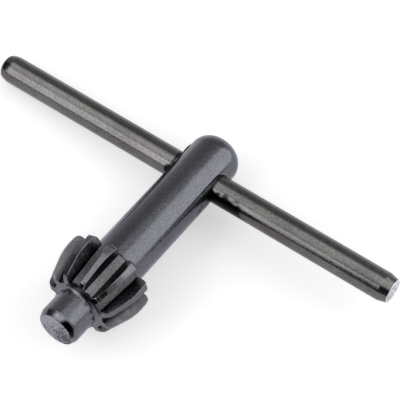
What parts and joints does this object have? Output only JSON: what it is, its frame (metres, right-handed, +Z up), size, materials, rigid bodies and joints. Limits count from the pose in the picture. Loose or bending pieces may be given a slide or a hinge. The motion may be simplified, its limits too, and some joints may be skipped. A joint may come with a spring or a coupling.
{
  "type": "drill chuck key",
  "caption": "T-handled drill chuck key: a round pilot and a crowned bevel pinion on a plain shank, turned by a plain round cross bar.",
  "frame": {"origin": "centre of the footprint of the key as it lies, on the surface that it rests on", "axes": "+X along the bar towards its right end, which lies higher than the left; -Y roughly along the body towards the pilot's tip, which lies higher than the other end; +Z up"},
  "size_m": [0.0883, 0.0502, 0.0174],
  "materials": {
    "body_steel": "turned, blackened, oiled, worn satin",
    "bar_steel": "drawn, blackened, oiled, worn satin"
  },
  "bodies": {
    "root": {"key_body": "body_steel", "handle_bar": "bar_steel"}
  },
  "joints": []
}
